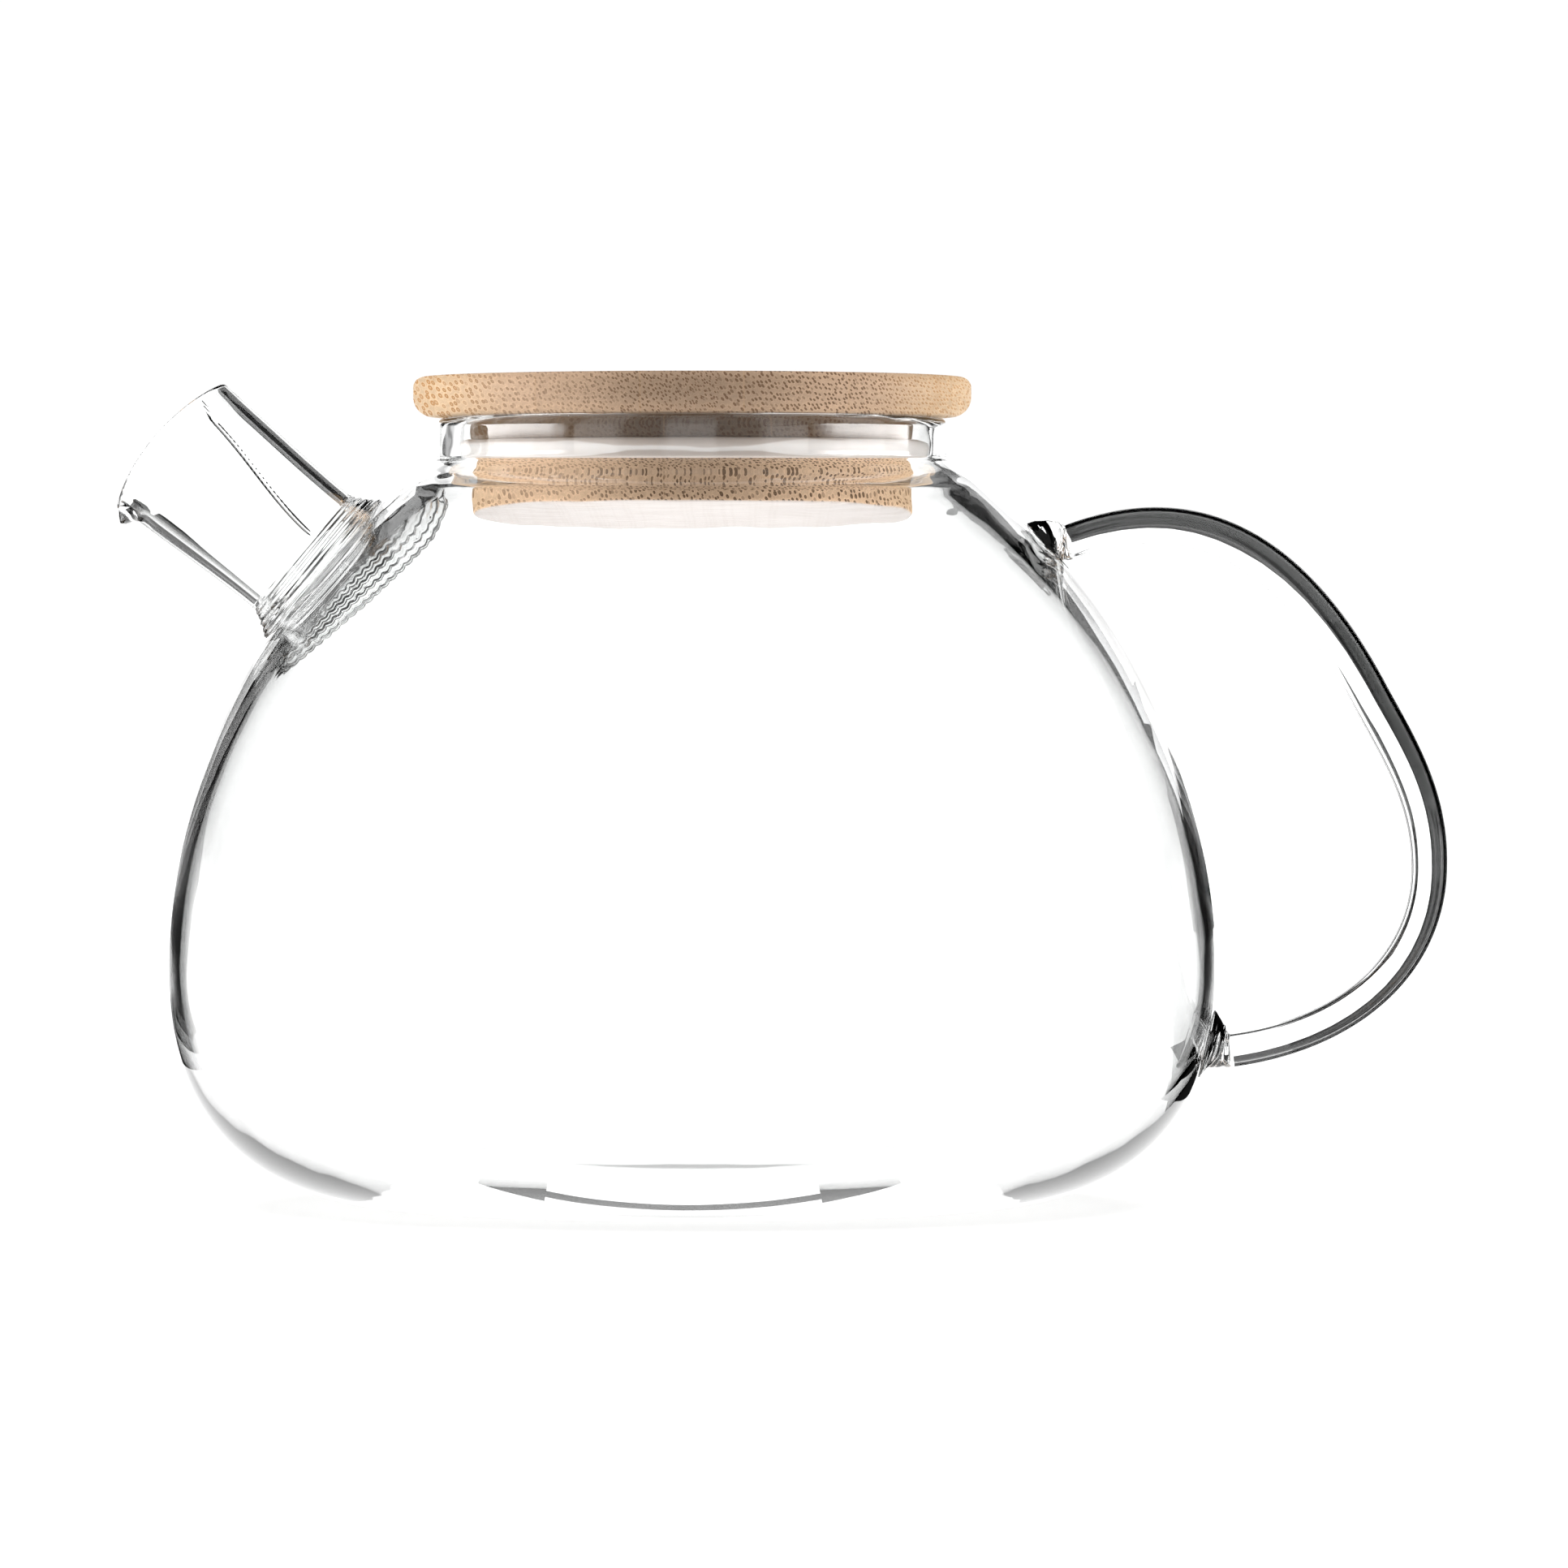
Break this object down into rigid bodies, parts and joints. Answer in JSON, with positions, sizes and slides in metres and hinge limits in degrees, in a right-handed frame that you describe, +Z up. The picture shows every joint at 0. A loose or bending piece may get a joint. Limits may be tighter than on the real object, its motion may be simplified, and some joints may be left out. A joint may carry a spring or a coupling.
{
  "type": "glass teapot",
  "caption": "Clear blown glass teapot with a straight side spout, slit glass strainer, tube handle and a bamboo plug lid with a silicone seal.",
  "frame": {"origin": "on the vessel's axis, on the plane the teapot stands on", "axes": "+Z up along the vessel's axis, +X from the vessel's axis towards the handle (the spout points to -X)"},
  "size_m": [0.215, 0.1692, 0.1335],
  "materials": {
    "clear_glass": "fire-polished clear borosilicate glass",
    "weld_glass": "clear lamp-worked borosilicate glass, rippled",
    "bamboo": "sanded laminated bamboo, satin oil",
    "silicone": "milky translucent silicone, semi-gloss"
  },
  "bodies": {
    "pot": {"glass_body": "clear_glass", "spout": "clear_glass", "spout_weld": "weld_glass", "strainer": "weld_glass", "handle": "clear_glass", "upper_handle_weld": "weld_glass", "lower_handle_weld": "weld_glass"},
    "seal": {"lid_seal": "silicone"},
    "lid": {"lid_cover": "bamboo", "lid_plug": "bamboo"}
  },
  "joints": [
    {"name": "lid_lift", "type": "slide", "parent": "pot", "child": "seal", "axis": [0, 0, 1], "range_m": [0, 0.06]},
    {"name": "lid_turn", "type": "hinge", "parent": "seal", "child": "lid", "pos_m": [0, 0, 0.127], "axis": [0, 0, 1], "continuous": true}
  ]
}
